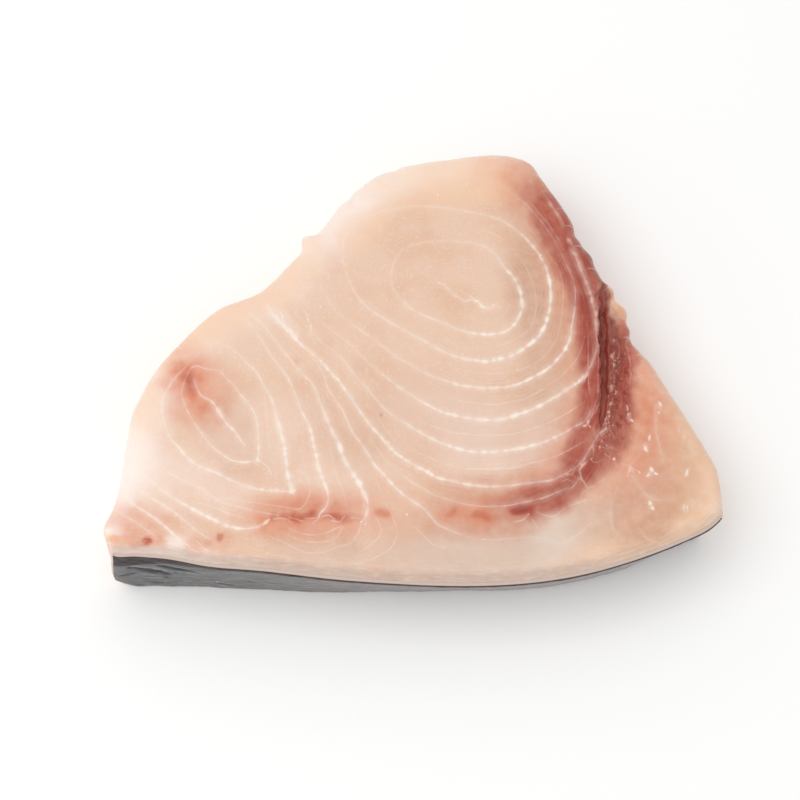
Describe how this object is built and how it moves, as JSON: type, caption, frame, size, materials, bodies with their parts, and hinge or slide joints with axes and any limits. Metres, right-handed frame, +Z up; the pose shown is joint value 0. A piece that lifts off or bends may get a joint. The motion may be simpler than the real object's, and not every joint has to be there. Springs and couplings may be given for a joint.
{
  "type": "swordfish steak",
  "caption": "Raw swordfish steak: one thick cross-cut slab with a whorled main muscle, a smaller side lobe, a belly flap beyond an open seam, and a strip of grey skin along its front wall.",
  "frame": {"origin": "middle of the slab's footprint, on the lower cut face that it lies on", "axes": "+X to the right along the slab's longest extent, with the belly flap at +X; +Y away from the skin, towards the crown; +Z up through the slab's thickness"},
  "size_m": [0.1706, 0.1344, 0.0253],
  "materials": {
    "flesh": "raw moist flesh, pale pinkish beige with blood-red dark muscle and white connective lines",
    "skin": "wet smooth grey fish skin, dark brown along its cut edge"
  },
  "bodies": {
    "root": {"flesh": "flesh", "skin": "skin"}
  },
  "joints": []
}
